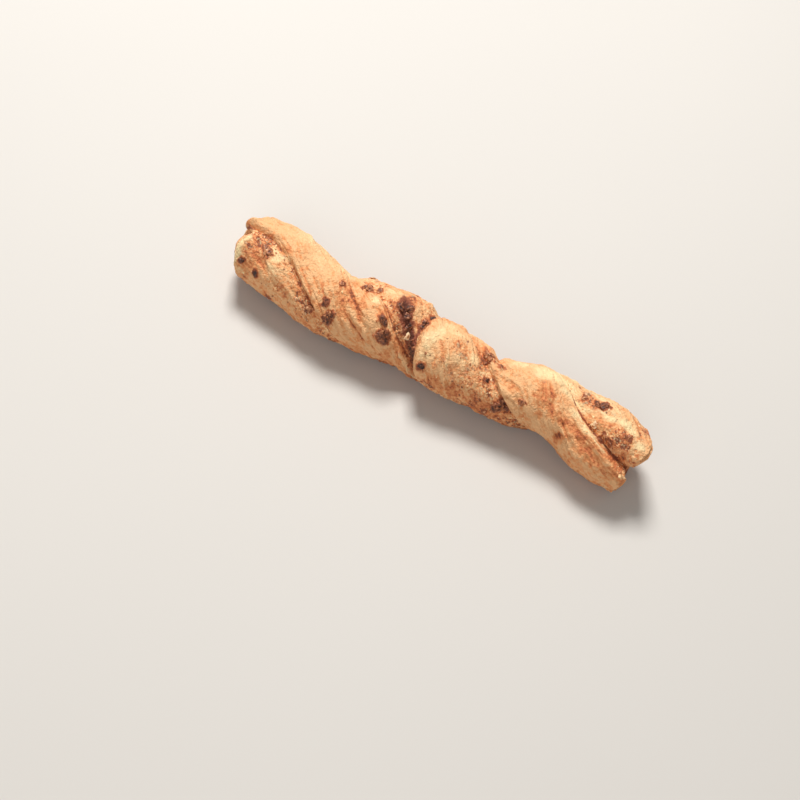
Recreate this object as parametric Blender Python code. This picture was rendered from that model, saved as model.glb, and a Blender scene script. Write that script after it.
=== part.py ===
"""Cheese straw: a baked stick of two dough rolls twisted round each other, with browned cheese bits on it.

It lies flat along X, its front towards -Y, and stands on the small flat that the baking tray left. Lengths
in the tables below are millimetres along the stick. Angles are degrees round it from straight up, growing to
the front.
"""

import math
import random

import bmesh
import bpy
import numpy as np
from mathutils import Matrix, Vector, noise

MM = 0.001
SEED = 11

# Driving sizes, millimetres
LENGTH = 252.0
AXIS_HEIGHT = 19.4
END_ROUNDING = 3.2

# Mesh counts, and the shortest edge kept, in metres
COLUMNS_PER_ROLL = 14
BODY_RINGS = 88
EDGE_RINGS = 2
FOLD_CROWDING = 0.9
FOLD_CROWDING_REACH = 12.0
SHORTEST_EDGE = 2e-5

# (millimetres along, value) keys of the stick's main form
ROLL_RADIUS = [
    (0, 20.0), (14, 20.8), (26, 22.2), (42, 21.0), (58, 22.3), (78, 21.2), (90, 22.4), (102, 21.5),
    (109, 20.3), (120, 20.5), (132, 21.9), (144, 18.9), (156, 17.4), (168, 18.3), (178, 20.2), (187, 21.6),
    (205, 19.0), (214, 20.0), (223, 22.4), (236, 22.6), (252, 18.6),
]
SIDEWAYS_BEND = [
    (0, 0.2), (15, 0.8), (30, -0.2), (42, -2.0), (54, -3.6), (63, -2.2), (80, -1.6), (90, 0.2), (98, 2.0),
    (108, 4.0), (119, -0.6), (132, 1.8), (144, 1.0), (156, 1.2), (162, 1.8), (174, 4.7), (183, 7.4),
    (192, 8.5), (204, 7.8), (222, 6.2), (229, 6.1), (240, 4.5), (252, 4.1),
]

# The two seams between the smooth roll and the rough one: the smooth roll lies from the upper to the lower
LOWER_SEAM = [
    (0, -5), (14, 1), (34, 28), (57, 64), (75, 104), (125, 256), (144, 327), (163, 387), (171, 415),
    (183, 447), (192, 482), (215, 532), (252, 590),
]
UPPER_SEAM = [
    (0, -185), (50, -92), (62, -58), (69, -37), (86, -5), (98, 34), (112, 87), (125, 134), (175, 250),
    (190, 314), (203, 346), (210, 366), (221, 386), (234, 398), (243, 409), (252, 424),
]
LOWER_SEAM_DEPTH = [
    (0, 4.0), (15, 2.6), (57, 2.2), (80, 2.0), (100, 4.0), (130, 4.0), (150, 3.0), (175, 2.8), (192, 3.5),
    (205, 4.0), (252, 5.5),
]
UPPER_SEAM_DEPTH = [
    (0, 5.0), (50, 3.5), (62, 4.5), (72, 3.5), (112, 3.6), (130, 4.5), (178, 4.0), (192, 1.2), (204, 2.8),
    (214, 5.0), (252, 7.0),
]
# How far the rolls draw in towards each seam, over WAIST_REACH to either side of it
LOWER_WAIST = [
    (0, 1.5), (30, 0.4), (76, 0.0), (100, 3.0), (125, 2.5), (150, 0.8), (178, 1.2), (197, 6.0), (214, 3.0),
    (252, 3.0),
]
UPPER_WAIST = [
    (0, 1.0), (32, 3.0), (45, 7.5), (60, 8.0), (76, 1.8), (105, 0.5), (130, 3.0), (175, 3.0), (200, 1.0),
    (225, 2.0), (252, 3.0),
]
WAIST_REACH = 14.0
# A seam is steep on the smooth roll, whose edge stands up as a lip, and slopes away gently on the rough one
SEAM_STEEP = 1.7
SEAM_GENTLE = 7.0
LIP_SHARE = 0.16
LIP_PLACE = -4.2
LIP_WIDTH = 2.2
BUMP_POWER = 1.7

# Rounding of the keys' corners: its usual width, steps in one width, and widths it reaches past a key
KEY_BLUR = 3.0
STEPS_PER_BLUR = 6
BLUR_REACH = 3
KEY_MARGIN = 8


def smooth_keys(keys, blur=KEY_BLUR):
    """The function through (place, value) keys, with its corners rounded over the blur's width."""
    places, values = (np.array(column, float) for column in zip(*keys))
    margin = KEY_MARGIN * blur
    grid = np.arange(places[0] - margin, places[-1] + margin, blur / STEPS_PER_BLUR)
    slopes = np.diff(values)[[0, -1]] / np.diff(places)[[0, -1]]
    table = np.interp(grid, places, values)
    table += np.minimum(grid - places[0], 0) * slopes[0] + np.maximum(grid - places[-1], 0) * slopes[1]
    reach = BLUR_REACH * STEPS_PER_BLUR
    weights = np.exp(-0.5 * (np.arange(-reach, reach + 1) / STEPS_PER_BLUR) ** 2)
    table = np.convolve(np.pad(table, reach, mode="edge"), weights / weights.sum(), mode="valid")
    return lambda place: np.interp(place, grid, table)


roll_radius = smooth_keys(ROLL_RADIUS)
sideways_bend = smooth_keys(SIDEWAYS_BEND)
lower_seam = smooth_keys(LOWER_SEAM)
upper_seam = smooth_keys(UPPER_SEAM)
lower_seam_depth = smooth_keys(LOWER_SEAM_DEPTH)
upper_seam_depth = smooth_keys(UPPER_SEAM_DEPTH)
lower_waist = smooth_keys(LOWER_WAIST)
upper_waist = smooth_keys(UPPER_WAIST)


def turned(angle):
    """The angle brought into -180 to 180 degrees."""
    return (angle + 180) % 360 - 180


def bell(distance, width):
    """1 at zero, falling off smoothly over the width."""
    return np.exp(-((distance / width) ** 2))


def one_sided_bump(distance, steep, gentle):
    """1 at zero, falling off over `steep` where the distance is negative and over `gentle` beyond it."""
    reach = np.where(distance < 0, steep, gentle)
    return np.exp(-(np.abs(distance) / reach) ** BUMP_POWER)


def seam_cut(arc, depth, waist):
    """How far a seam sinks the surface, from the arc past it, positive on the rough roll."""
    lip = LIP_SHARE * depth * bell(arc - LIP_PLACE, LIP_WIDTH)
    return depth * one_sided_bump(arc, SEAM_STEEP, SEAM_GENTLE) - lip + waist * bell(arc, WAIST_REACH)


# The fold across the rough roll near the middle, where it doubles on itself
FOLD_PLACE = 112.4
FOLD_ANGLE = 10.0
FOLD_CURVE = 0.0009
FOLD_DEPTH = [(-90, 0.0), (-60, 2.6), (-20, 3.8), (15, 6.4), (70, 6.6), (100, 4.4), (140, 0.0)]
FOLD_STEEP = 2.0
FOLD_GENTLE = 8.0
NOSE_SHARE = 0.15
NOSE_PLACE = 6.0
NOSE_WIDTH = 3.0
# The trough of melted cheese that starts well before the fold on top and meets it in front:
# (degrees round, millimetres along), its depth and width
MELT_LINE = [(-30, 95), (-2, 99), (13, 103), (35, 108), (61, 113), (85, 117), (116, 122)]
MELT_DEPTH = [(-36, 0.0), (-10, 1.8), (15, 2.6), (40, 1.0), (60, 0.0)]
MELT_WIDTH = 3.2
# The shallow crease that starts at the back of the smooth roll and runs down its top
CREASE = [(-60, 157), (-22, 160), (10, 170), (25, 175)]
CREASE_DEPTH = [(-120, 0.0), (-70, 4.2), (-40, 3.2), (0, 1.3), (32, 0.0)]
CREASE_STEEP = 2.0
CREASE_GENTLE = 3.5

fold_depth = smooth_keys(FOLD_DEPTH, blur=8.0)
melt_place = smooth_keys(MELT_LINE, blur=6.0)
melt_depth = smooth_keys(MELT_DEPTH, blur=6.0)
crease_place = smooth_keys(CREASE, blur=6.0)
crease_depth = smooth_keys(CREASE_DEPTH, blur=8.0)


def fold_cut(along, angle):
    """How far the fold sinks the surface: a long slope on its left side, a round nose on its right."""
    past = along - (FOLD_PLACE + FOLD_CURVE * (angle - FOLD_ANGLE) ** 2)
    nose = NOSE_SHARE * bell(past - NOSE_PLACE, NOSE_WIDTH)
    return np.maximum(fold_depth(angle), 0) * (one_sided_bump(-past, FOLD_STEEP, FOLD_GENTLE) - nose)


def melt_cut(along, angle):
    """How far the trough of melted cheese sinks the surface."""
    return np.maximum(melt_depth(angle), 0) * bell(along - melt_place(angle), MELT_WIDTH)


def crease_cut(along, angle):
    """How far the shallow crease sinks the surface."""
    past = along - crease_place(angle)
    return np.maximum(crease_depth(angle), 0) * one_sided_bump(-past, CREASE_STEEP, CREASE_GENTLE)


def surface_radius(along, angle):
    """Distance of the crust from the stick's axis, in millimetres, without its lumps."""
    radius = roll_radius(along)
    to_arc = np.radians(1) * radius
    past_lower = turned(angle - lower_seam(along)) * to_arc
    past_upper = -turned(angle - upper_seam(along)) * to_arc
    radius = radius - seam_cut(past_lower, lower_seam_depth(along), lower_waist(along))
    radius = radius - seam_cut(past_upper, upper_seam_depth(along), upper_waist(along))
    angle = turned(angle)
    return radius - fold_cut(along, angle) - melt_cut(along, angle) - crease_cut(along, angle)


# How far each end reaches past the nominal length, round the stick: (degrees, millimetres along)
LEFT_END = [
    (-180, 4), (-100, 5), (-60, 6), (-30, 2.4), (-10, -3.0), (2, 4.4), (25, 3.0), (46, 1.4), (68, 3.0),
    (85, 4.0), (100, 5.4), (120, 5.4), (180, 4),
]
RIGHT_END = [
    (-180, -5), (-100, -6), (-60, -5.4), (-40, -2.9), (-20, 0.4), (5, 1.0), (23, -1.3), (40, -3.6),
    (50, -5.2), (57, -7.6), (64, -5.6), (75, -3.6), (90, -3.6), (102, -5.0), (140, -5.4), (180, -5),
]
END_REACH = 22.0
left_end = smooth_keys(LEFT_END)
right_end = smooth_keys(RIGHT_END)

# The end faces: each ring's share of the way from the middle to the rim, where the middles lie along the
# stick, the slit where the two rolls meet, and the gap under the outermost layer of dough
FACE_RINGS = [0.3, 0.58, 0.74, 0.86, 1.0]
LEFT_FACE_MIDDLE = -6.0
RIGHT_FACE_MIDDLE = 247.5
SLIT_DEPTH = 4.5
SLIT_WIDTH = 1.5
LAYER_GAP_PLACE = 0.74
LAYER_GAP_DEPTH = 1.8
LAYER_GAP_WIDTH = 0.08

# Rises and dips of the crust: (size of each, height), millimetres
LUMPS = [(17.0, 1.0), (7.0, 0.45)]

# Millimetres and degrees between the points that the crust's direction is found from
NORMAL_STEP = 0.4


def lumps(point):
    """Height of the crust's lumps at a point, all in millimetres."""
    return sum(height * noise.noise(Vector(point) / size) for size, height in LUMPS)


def placed(along, angle):
    """The distance along, once the uneven ends have drawn the nearby crust with them."""
    near_left = np.clip(1 - along / END_REACH, 0, 1) ** 2
    near_right = np.clip(1 - (LENGTH - along) / END_REACH, 0, 1) ** 2
    return along + near_left * left_end(turned(angle)) + near_right * right_end(turned(angle))


def swollen_points(along, angle, radius):
    """Points in millimetres this far from the bent axis, with their lumps, and flat where the tray was."""
    across, up = -np.sin(np.radians(angle)), np.cos(np.radians(angle))
    side = sideways_bend(along)
    bare = np.stack([along, side + radius * across, AXIS_HEIGHT + radius * up], axis=-1)
    radius = radius * (1 + np.array([lumps(point) for point in bare]) / roll_radius(along))
    return np.stack([along, side + radius * across, np.maximum(AXIS_HEIGHT + radius * up, 0.0)], axis=-1)


def crust_points(along, angle):
    """Points of the crust between the two ends."""
    place = placed(along, angle)
    return swollen_points(place, angle, surface_radius(place, angle))


def crust_frame(along, angle):
    """A point of the crust with the directions along it, round it and out of it."""
    alongs = np.array([along, along + NORMAL_STEP, along])
    angles = np.array([angle, angle, angle + NORMAL_STEP])
    here, ahead, round_it = (Vector(point) for point in crust_points(alongs, angles))
    forward = (ahead - here).normalized()
    outward = (round_it - here).cross(ahead - here).normalized()
    return here, forward, outward.cross(forward), outward


def column_angles(along):
    """Angles of the mesh's columns, which follow both seams and crowd beside them."""
    lower, upper = float(lower_seam(along)), float(upper_seam(along))
    shares = 0.5 - 0.5 * np.cos(np.pi * np.arange(COLUMNS_PER_ROLL) / COLUMNS_PER_ROLL)
    return np.concatenate([upper + shares * (lower - upper), lower + shares * (upper + 360 - lower)])


def edge_ring(end, lean):
    """A ring of the rounded edge between crust and end face, at `lean` degrees round its corner."""
    angle = column_angles(end)
    rim = placed(np.full(len(angle), end), angle)
    radius = surface_radius(rim, angle) - END_ROUNDING * (1 - math.cos(math.radians(lean)))
    outward = 1 if end else -1
    return swollen_points(rim + outward * END_ROUNDING * math.sin(math.radians(lean)), angle, radius)


def face_ring(end, share):
    """A ring of an end face, from the rim at 1 to the middle at 0."""
    angle = column_angles(end)
    rim = placed(np.full(len(angle), end), angle)
    radius = share * (surface_radius(rim, angle) - END_ROUNDING)
    seam = upper_seam(end) if end else lower_seam(end)
    slit = SLIT_DEPTH * bell(radius * np.sin(np.radians(angle - seam)), SLIT_WIDTH)
    layer_gap = LAYER_GAP_DEPTH * bell(share - LAYER_GAP_PLACE, LAYER_GAP_WIDTH)
    outward, middle = (1, RIGHT_FACE_MIDDLE) if end else (-1, LEFT_FACE_MIDDLE)
    crust_end = rim + outward * END_ROUNDING
    along = middle + (crust_end - middle) * share**2 - outward * (slit + layer_gap)
    return swollen_points(along, angle, radius)


def body_places():
    """Distances along of the crust's rings, closer together at the fold."""
    grid = np.linspace(0, LENGTH, 1000)
    density = 1 + FOLD_CROWDING * bell(grid - FOLD_PLACE - NOSE_PLACE, FOLD_CROWDING_REACH)
    share = np.cumsum(density) - density[0]
    return np.interp(np.linspace(0, share[-1], BODY_RINGS), share, grid)


def end_rings(end):
    """Rings of an end, from the middle of its face out to the crust."""
    leans = 90 * np.arange(1, EDGE_RINGS + 1) / (EDGE_RINGS + 0.5)
    return [face_ring(end, share) for share in FACE_RINGS] + [edge_ring(end, lean) for lean in leans[::-1]]


def dough_rings():
    """Rings of the dough's surface, from the middle of the left end face to the middle of the right one."""
    columns = 2 * COLUMNS_PER_ROLL
    body = [crust_points(np.full(columns, along), column_angles(along)) for along in body_places()]
    return end_rings(0.0) + body + end_rings(LENGTH)[::-1]


def add_dough(collection):
    """The two twisted rolls as one closed mesh: a sphere whose rings are laid along the stick."""
    rings = dough_rings()
    columns = 2 * COLUMNS_PER_ROLL
    shape = bmesh.new()
    bmesh.ops.create_uvsphere(shape, u_segments=columns, v_segments=len(rings) + 1, radius=1.0)
    for vert in shape.verts:
        ring = round(math.acos(max(-1.0, min(1.0, vert.co.z))) / math.pi * (len(rings) + 1))
        column = round((math.atan2(vert.co.y, vert.co.x) / math.tau + 0.25) * columns) % columns
        at_pole = ring in (0, len(rings) + 1)
        nearest = rings[min(max(ring - 1, 0), len(rings) - 1)]
        vert.co = Vector(nearest.mean(axis=0) if at_pole else nearest[column]) * MM
    bmesh.ops.triangulate(shape, faces=shape.faces, quad_method="SHORT_EDGE")
    bmesh.ops.recalc_face_normals(shape, faces=shape.faces)
    return new_object("cheese_straw", shape, collection)


def new_object(name, shape, collection):
    """An object made from the finished bmesh."""
    mesh = bpy.data.meshes.new(name)
    shape.to_mesh(mesh)
    shape.free()
    made = bpy.data.objects.new(name, mesh)
    collection.objects.link(made)
    return made


# Cheese baked onto the front and top, from the left end to the right:
# (millimetres along, degrees round, reach of the patch, number of bits, width of a bit)
PATCHES = [
    (3, 63, 0.0, 1, 3.0),
    (16, 23, 3.0, 3, 3.4),
    (18, 51, 0.0, 1, 3.2),
    (15, 69, 0.0, 1, 3.4),
    (29, 90, 4.0, 2, 2.6),
    (36, 55, 0.0, 1, 2.6),
    (51, 62, 3.0, 3, 3.4),
    (60, 43, 1.5, 2, 4.2),
    (65, 61, 2.6, 4, 4.4),
    (62, 7, 0.0, 1, 3.6),
    (76, -29, 6.0, 5, 3.6),
    (93, 31, 2.2, 3, 4.3),
    (96, 51, 2.8, 4, 4.5),
    (111, -4, 3.0, 3, 3.8),
    (114, -30, 0.0, 1, 3.8),
    (123, 60, 0.0, 1, 4.4),
    (151, -10, 4.5, 4, 3.6),
    (161, -12, 0.0, 1, 4.2),
    (158, 30, 0.0, 1, 3.8),
    (170, 66, 5.5, 6, 4.2),
    (165, 90, 0.0, 1, 3.0),
    (180, 80, 0.0, 1, 3.0),
    (181, 45, 0.0, 1, 2.6),
    (209, -25, 0.0, 1, 3.0),
    (218, -20, 4.0, 4, 4.4),
    (222, 18, 2.5, 2, 3.4),
    (231, 33, 4.5, 4, 3.2),
    (240, 11, 4.0, 4, 2.6),
]
# Cheese melted into the trough: (first and last degrees round, number of bits, width)
MELTED_BITS = (-14, 112, 13, 4.4)
# Patches on the side away from the front: (first and last degrees round, number of patches, most bits in
# one), then their reach and the widths of their bits
REAR_PATCHES = (-150, -66, 12, 4)
REAR_REACH = 5.0
REAR_WIDTHS = (3.0, 4.6)
# How much a bit's width varies, and how far to either side of the trough's line its bits lie
WIDTH_SHARES = (0.75, 1.15)
MELTED_SPREAD = (-3.0, 2.0)
# How a bit is drawn out along and across, how flat and rough it is, the width below which it is coarser,
# the least width that is built, and the least height that it stands at
BIT_STRETCH = (0.95, 1.25)
BIT_SQUEEZE = (0.8, 1.0)
BIT_DEPTH = 0.46
BIT_ROUGHNESS = 0.18
SMALL_BIT = 3.9
SMALLEST_BIT = 2.7
LOWEST_BIT = 6.0


def bit_places(draw):
    """Every bit's distance along, angle round and width, by rule and seeded draw."""
    patches = list(PATCHES)
    first, last, number, most = REAR_PATCHES
    for index in range(number):
        along = LENGTH * (index + draw.uniform(0.3, 0.8)) / number
        angle = draw.uniform(first, last)
        bits = draw.randint(1, most)
        patches.append((along, angle, REAR_REACH, bits, draw.uniform(*REAR_WIDTHS)))
    for along, angle, reach, bits, width in patches:
        for index in range(bits):
            away = reach * math.sqrt((index + 0.5) / bits)
            turn = draw.uniform(0, math.tau)
            spread = math.degrees(away * math.sin(turn) / ROLL_RADIUS[0][1])
            yield along + away * math.cos(turn), angle + spread, width * draw.uniform(*WIDTH_SHARES)
    first, last, number, width = MELTED_BITS
    for index in range(number):
        angle = first + (last - first) * (index + draw.uniform(0.2, 0.8)) / number
        along = float(melt_place(angle)) + draw.uniform(*MELTED_SPREAD)
        yield along, angle, width * draw.uniform(*WIDTH_SHARES)


def add_bit(collection, along, angle, width):
    """A rough crumb of cheese, half sunk in the crust, whose shape follows from its place and size."""
    draw = random.Random(f"{along:.3f} {angle:.3f} {width:.3f}")
    here, forward, sideways, outward = crust_frame(along, angle)
    shape = bmesh.new()
    bmesh.ops.create_icosphere(shape, subdivisions=1 if width < SMALL_BIT else 2, radius=width / 2 * MM)
    for vert in shape.verts:
        vert.co *= 1 + draw.uniform(-BIT_ROUGHNESS, BIT_ROUGHNESS)
    stretch = Matrix.Diagonal((draw.uniform(*BIT_STRETCH), draw.uniform(*BIT_SQUEEZE), BIT_DEPTH, 1))
    spin = Matrix.Rotation(draw.uniform(0, math.tau), 4, "Z")
    axes = Matrix((forward, sideways, outward)).transposed().to_4x4()
    place = Matrix.Translation(here * MM) @ axes @ spin @ stretch
    bmesh.ops.transform(shape, matrix=place, verts=shape.verts)
    bmesh.ops.recalc_face_normals(shape, faces=shape.faces)
    return new_object("bit", shape, collection)


def islands(shape):
    """Lists of the vertices that hang together."""
    left = set(shape.verts)
    while left:
        island = [left.pop()]
        for vert in island:
            found = {edge.other_vert(vert) for edge in vert.link_edges} & left
            left -= found
            island.extend(found)
        yield island


def keep_outer_skin(mesh):
    """Keeps only the largest closed surface, without slivers, so that sealed hollows are filled."""
    shape = bmesh.new()
    shape.from_mesh(mesh)
    for island in sorted(islands(shape), key=len)[:-1]:
        bmesh.ops.delete(shape, geom=island, context="VERTS")
    bmesh.ops.dissolve_degenerate(shape, edges=shape.edges, dist=SHORTEST_EDGE)
    bmesh.ops.triangulate(shape, faces=shape.faces)
    shape.to_mesh(mesh)
    shape.free()


def fuse_bits(dough, bits):
    """Joins every bit of the collection to the dough by one union, and removes the bits."""
    union = dough.modifiers.new("bits", "BOOLEAN")
    union.operation = "UNION"
    union.operand_type = "COLLECTION"
    union.collection = bits
    union.solver = "EXACT"
    bpy.context.view_layer.update()
    graph = bpy.context.evaluated_depsgraph_get()
    fused = bpy.data.meshes.new_from_object(dough.evaluated_get(graph))
    dough.modifiers.clear()
    keep_outer_skin(fused)
    dough.data = fused
    for bit in list(bits.objects):
        bpy.data.objects.remove(bit)
    bpy.data.collections.remove(bits)


def new_collection(name):
    """A collection in the scene."""
    made = bpy.data.collections.new(name)
    bpy.context.scene.collection.children.link(made)
    return made


def baked_dough():
    """Golden baked dough."""
    material = bpy.data.materials.new("baked_dough")
    material.use_nodes = True
    surface = material.node_tree.nodes["Principled BSDF"]
    surface.inputs["Base Color"].default_value = (0.78, 0.49, 0.24, 1.0)
    surface.inputs["Roughness"].default_value = 0.72
    surface.inputs["Metallic"].default_value = 0.0
    return material


def stand_on_origin(straw):
    """Moves the mesh so that the middle of its box's underside is at the origin."""
    corners = [Vector(corner) for corner in straw.bound_box]
    middle = (corners[0] + corners[6]) / 2
    straw.data.transform(Matrix.Translation((-middle.x, -middle.y, -corners[0].z)))


def main():
    for old in list(bpy.data.objects):
        bpy.data.objects.remove(old)
    straw = add_dough(new_collection("cheese_straw"))
    bits = new_collection("bits")
    draw = random.Random(SEED)
    for along, angle, width in bit_places(draw):
        if width > SMALLEST_BIT and crust_frame(along, angle)[0].z > LOWEST_BIT:
            add_bit(bits, along, angle, width)
    fuse_bits(straw, bits)
    stand_on_origin(straw)
    straw.data.shade_smooth()
    straw.data.materials.append(baked_dough())


if __name__ == "__main__":
    main()
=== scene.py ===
"""Looks of the cheese straw: two twisted rolls of dough with a toasted, floury crust and baked cheese.

The form is the solid's own, from the same keys, at a finer grain. Places on it are millimetres along it and
degrees round it from straight up, growing to the front. Meshes are in metres, as the solid is.
"""

import math
import random
from types import SimpleNamespace

import bmesh
import bpy
import numpy as np
from mathutils import Matrix, Vector, noise

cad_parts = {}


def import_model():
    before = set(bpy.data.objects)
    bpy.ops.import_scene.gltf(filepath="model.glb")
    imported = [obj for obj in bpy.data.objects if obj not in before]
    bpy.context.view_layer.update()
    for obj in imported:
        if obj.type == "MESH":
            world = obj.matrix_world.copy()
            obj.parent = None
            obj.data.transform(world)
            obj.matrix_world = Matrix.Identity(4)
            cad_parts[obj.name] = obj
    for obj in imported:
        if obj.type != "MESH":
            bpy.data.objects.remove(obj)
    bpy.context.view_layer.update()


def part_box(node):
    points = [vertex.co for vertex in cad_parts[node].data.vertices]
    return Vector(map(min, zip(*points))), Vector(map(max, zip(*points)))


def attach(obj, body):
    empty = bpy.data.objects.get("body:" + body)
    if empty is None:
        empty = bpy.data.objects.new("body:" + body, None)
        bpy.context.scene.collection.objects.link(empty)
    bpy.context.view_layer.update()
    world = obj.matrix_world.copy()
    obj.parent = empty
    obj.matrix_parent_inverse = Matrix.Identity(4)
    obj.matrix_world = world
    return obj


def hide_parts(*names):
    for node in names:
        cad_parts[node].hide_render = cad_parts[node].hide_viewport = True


MM = 0.001

# ---------------------------------------------------------------- the form, with the solid's own keys
SEED = 11
LENGTH = 252.0
AXIS_HEIGHT = 19.4
END_ROUNDING = 3.2
# Middle of the underside of the solid's box, in the keys' own lengths
BOX_MIDDLE = Vector((125.103, 2.081, 0.0))

# (millimetres along, value) keys of the stick's main form
ROLL_RADIUS = [
    (0, 20.0), (14, 20.8), (26, 22.2), (42, 21.0), (58, 22.3), (78, 21.2), (90, 22.4), (102, 21.5),
    (109, 20.3), (120, 20.5), (132, 21.9), (144, 18.9), (156, 17.4), (168, 18.3), (178, 20.2), (187, 21.6),
    (205, 19.0), (214, 20.0), (223, 22.4), (236, 22.6), (252, 18.6),
]
SIDEWAYS_BEND = [
    (0, 0.2), (15, 0.8), (30, -0.2), (42, -2.0), (54, -3.6), (63, -2.2), (80, -1.6), (90, 0.2), (98, 2.0),
    (108, 4.0), (119, -0.6), (132, 1.8), (144, 1.0), (156, 1.2), (162, 1.8), (174, 4.7), (183, 7.4),
    (192, 8.5), (204, 7.8), (222, 6.2), (229, 6.1), (240, 4.5), (252, 4.1),
]

# The two seams between the smooth roll and the rough one: the smooth roll lies from the upper to the lower
LOWER_SEAM = [
    (0, -5), (14, 1), (34, 28), (57, 64), (75, 104), (125, 256), (144, 327), (163, 387), (171, 415),
    (183, 447), (192, 482), (215, 532), (252, 590),
]
UPPER_SEAM = [
    (0, -185), (50, -92), (62, -58), (69, -37), (86, -5), (98, 34), (112, 87), (125, 134), (175, 250),
    (190, 314), (203, 346), (210, 366), (221, 386), (234, 398), (243, 409), (252, 424),
]
LOWER_SEAM_DEPTH = [
    (0, 4.0), (15, 2.6), (57, 2.2), (80, 2.0), (100, 4.0), (130, 4.0), (150, 3.0), (175, 2.8), (192, 3.5),
    (205, 4.0), (252, 5.5),
]
UPPER_SEAM_DEPTH = [
    (0, 5.0), (50, 3.5), (62, 4.5), (72, 3.5), (112, 3.6), (130, 4.5), (178, 4.0), (192, 1.2), (204, 2.8),
    (214, 5.0), (252, 7.0),
]
# How far the rolls draw in towards each seam, over WAIST_REACH to either side of it
LOWER_WAIST = [
    (0, 1.5), (30, 0.4), (76, 0.0), (100, 3.0), (125, 2.5), (150, 0.8), (178, 1.2), (197, 6.0), (214, 3.0),
    (252, 3.0),
]
UPPER_WAIST = [
    (0, 1.0), (32, 3.0), (45, 7.5), (60, 8.0), (76, 1.8), (105, 0.5), (130, 3.0), (175, 3.0), (200, 1.0),
    (225, 2.0), (252, 3.0),
]
WAIST_REACH = 14.0
# A seam is steep on the smooth roll, whose edge stands up as a lip, and slopes away gently on the rough one
SEAM_STEEP = 1.7
SEAM_GENTLE = 7.0
LIP_SHARE = 0.16
LIP_PLACE = -4.2
LIP_WIDTH = 2.2
# How square the bottom of a seam or fold is: 2 is a bell, less is sharper
BUMP_POWER = 1.7

# Rounding of the keys' corners: its usual width, steps in one width, and widths it reaches past a key
KEY_BLUR = 3.0
STEPS_PER_BLUR = 6
BLUR_REACH = 3
KEY_MARGIN = 8


def smooth_keys(keys, blur=KEY_BLUR):
    """The function through (place, value) keys, with its corners rounded over the blur's width."""
    places, values = (np.array(column, float) for column in zip(*keys))
    margin = KEY_MARGIN * blur
    grid = np.arange(places[0] - margin, places[-1] + margin, blur / STEPS_PER_BLUR)
    slopes = np.diff(values)[[0, -1]] / np.diff(places)[[0, -1]]
    table = np.interp(grid, places, values)
    table += np.minimum(grid - places[0], 0) * slopes[0] + np.maximum(grid - places[-1], 0) * slopes[1]
    reach = BLUR_REACH * STEPS_PER_BLUR
    weights = np.exp(-0.5 * (np.arange(-reach, reach + 1) / STEPS_PER_BLUR) ** 2)
    table = np.convolve(np.pad(table, reach, mode="edge"), weights / weights.sum(), mode="valid")
    return lambda place: np.interp(place, grid, table)


# The fold across the rough roll near the middle, where it doubles on itself
FOLD_PLACE = 112.4
FOLD_ANGLE = 10.0
FOLD_CURVE = 0.0009
FOLD_DEPTH = [(-90, 0.0), (-60, 2.6), (-20, 3.8), (15, 6.4), (70, 6.6), (100, 4.4), (140, 0.0)]
FOLD_STEEP = 2.0
FOLD_GENTLE = 8.0
# The round nose beyond the fold: height as a share of the fold's depth, place and width
NOSE_SHARE = 0.15
NOSE_PLACE = 6.0
NOSE_WIDTH = 3.0
# The trough of melted cheese that starts well before the fold on top and meets it in front
MELT_LINE = [(-30, 95), (-2, 99), (13, 103), (35, 108), (61, 113), (85, 117), (116, 122)]
MELT_DEPTH = [(-36, 0.0), (-10, 1.8), (15, 2.6), (40, 1.0), (60, 0.0)]
MELT_WIDTH = 3.2
# The shallow crease that starts at the back of the smooth roll and runs down its top
CREASE = [(-60, 157), (-22, 160), (10, 170), (25, 175)]
CREASE_DEPTH = [(-120, 0.0), (-70, 4.2), (-40, 3.2), (0, 1.3), (32, 0.0)]
CREASE_STEEP = 2.0
CREASE_GENTLE = 3.5

# How far each end reaches past the nominal length, round the straw: (degrees, millimetres along)
LEFT_END = [
    (-180, 4), (-100, 5), (-60, 6), (-30, 2.4), (-10, -3.0), (2, 4.4), (25, 3.0), (46, 1.4), (68, 3.0),
    (85, 4.0), (100, 5.4), (120, 5.4), (180, 4),
]
RIGHT_END = [
    (-180, -5), (-100, -6), (-60, -5.4), (-40, -2.9), (-20, 0.4), (5, 1.0), (23, -1.3), (40, -3.6),
    (50, -5.2), (57, -7.6), (64, -5.6), (75, -3.6), (90, -3.6), (102, -5.0), (140, -5.4), (180, -5),
]
# How far an end draws the crust beside it, and where the middles of the two end faces are along the straw
END_REACH = 22.0
LEFT_FACE_MIDDLE = -6.0
RIGHT_FACE_MIDDLE = 247.5
# The slit between the two rolls on an end face
SLIT_DEPTH = 4.5
SLIT_WIDTH = 1.5
# Rises and dips of the crust: (size of each, height), millimetres
LUMPS = [(17.0, 1.0), (7.0, 0.45)]

roll_radius = smooth_keys(ROLL_RADIUS)
sideways_bend = smooth_keys(SIDEWAYS_BEND)
lower_seam = smooth_keys(LOWER_SEAM)
upper_seam = smooth_keys(UPPER_SEAM)
lower_seam_depth = smooth_keys(LOWER_SEAM_DEPTH)
upper_seam_depth = smooth_keys(UPPER_SEAM_DEPTH)
lower_waist = smooth_keys(LOWER_WAIST)
upper_waist = smooth_keys(UPPER_WAIST)
fold_depth = smooth_keys(FOLD_DEPTH, blur=8.0)
melt_place = smooth_keys(MELT_LINE, blur=6.0)
melt_depth = smooth_keys(MELT_DEPTH, blur=6.0)
crease_place = smooth_keys(CREASE, blur=6.0)
crease_depth = smooth_keys(CREASE_DEPTH, blur=8.0)
left_end = smooth_keys(LEFT_END)
right_end = smooth_keys(RIGHT_END)


def turned(angle):
    """The angle brought into -180 to 180 degrees."""
    return (angle + 180) % 360 - 180


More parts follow.
